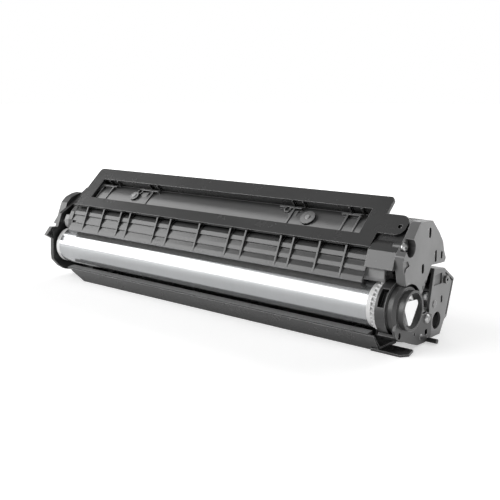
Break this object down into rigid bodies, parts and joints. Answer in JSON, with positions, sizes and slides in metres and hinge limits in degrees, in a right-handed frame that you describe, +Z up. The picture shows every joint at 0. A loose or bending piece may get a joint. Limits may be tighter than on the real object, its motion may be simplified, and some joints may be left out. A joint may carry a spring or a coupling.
{
  "type": "toner cartridge",
  "caption": "Printer toner cartridge: drum, charge roller and waste bin in a ribbed frame, hinged to a toner hopper with developer roller, gear train and agitator.",
  "frame": {"origin": "centre of the footprint on the floor that the developer unit's underside rests on", "axes": "+X along the drum towards its drive end, +Y from the drum to the hopper, +Z up"},
  "size_m": [0.2866, 0.076, 0.0753],
  "materials": {
    "frame_black": "semi-gloss moulded",
    "window_black": "semi-gloss moulded",
    "cover_black": "satin moulded",
    "hopper_black": "satin moulded",
    "cap_black": "satin moulded",
    "white_plastic": "semi-gloss moulded",
    "drum_coating": "gloss coating on aluminium",
    "charge_rubber": "smooth",
    "roller_sleeve": "blasted",
    "steel": "plated",
    "wiper_rubber": "smooth",
    "magnet": "moulded ferrite",
    "film": "thin film",
    "seal_foam": "sealing strip",
    "grey_plastic": "semi-gloss moulded"
  },
  "bodies": {
    "drum_unit": {"cleaning_frame": "frame_black", "bin_cover": "cover_black", "window_frame": "window_black", "window_pins": "steel", "drive_end_cap": "cap_black", "left_end_cap": "cap_black", "left_side_plate": "cap_black", "drum_bearing": "frame_black", "drum_pin": "steel", "cap_screws": "steel", "bearing_screws": "steel", "wiper_bracket": "steel", "wiper_blade": "wiper_rubber", "charge_bushes": "grey_plastic"},
    "drum": {"drum_tube": "drum_coating", "drive_flange": "white_plastic", "left_flange": "white_plastic"},
    "charge_roller": {"charge_shaft": "steel", "charge_rubber": "charge_rubber"},
    "developer_unit": {"toner_hopper": "hopper_black", "hopper_lid": "hopper_black", "fill_plug": "grey_plastic", "gear_cover": "hopper_black", "left_developer_cover": "hopper_black", "lower_guard": "frame_black", "guard_seal": "seal_foam", "doctor_bracket": "steel", "doctor_blade": "wiper_rubber", "magnet_core": "magnet", "roller_bushes": "grey_plastic", "idler_post": "hopper_black", "hinge_pins": "steel"},
    "developer_roller": {"roller_sleeve": "roller_sleeve", "roller_gear": "white_plastic", "spacer_rings": "white_plastic"},
    "idler": {"idler_gear": "white_plastic"},
    "agitator": {"agitator_shaft": "grey_plastic", "agitator_film": "film", "agitator_gear": "white_plastic"}
  },
  "joints": [
    {"name": "drum_spin", "type": "hinge", "parent": "drum_unit", "child": "drum", "pos_m": [-0.0053, -0.02014, 0.0226], "axis": [1, 0, 0], "continuous": true},
    {"name": "charge_roller_spin", "type": "hinge", "parent": "drum_unit", "child": "charge_roller", "pos_m": [-0.0053, -0.02116, 0.03912], "axis": [1, 0, 0], "continuous": true},
    {"name": "developer_swing", "type": "hinge", "parent": "drum_unit", "child": "developer_unit", "pos_m": [-0.0053, -0.00464, 0.0048], "axis": [-1, 0, 0], "range_deg": [0, 2], "stiffness_Nm_per_rad": 5, "springref_deg": -2.86},
    {"name": "developer_roller_spin", "type": "hinge", "parent": "developer_unit", "child": "developer_roller", "pos_m": [-0.0053, -0.00006, 0.01906], "axis": [1, 0, 0], "continuous": true},
    {"name": "idler_spin", "type": "hinge", "parent": "developer_unit", "child": "idler", "pos_m": [-0.0053, 0.01195, 0.02627], "axis": [1, 0, 0], "continuous": true},
    {"name": "agitator_spin", "type": "hinge", "parent": "developer_unit", "child": "agitator", "pos_m": [-0.0053, 0.01929, 0.01579], "axis": [1, 0, 0], "continuous": true}
  ],
  "couplings": [
    {"joint": "charge_roller_spin", "follows": "drum_spin", "ratio": -2.8235},
    {"joint": "developer_roller_spin", "follows": "drum_spin", "ratio": -1.4286},
    {"joint": "idler_spin", "follows": "drum_spin", "ratio": 2.1429},
    {"joint": "agitator_spin", "follows": "drum_spin", "ratio": -1.6667}
  ]
}
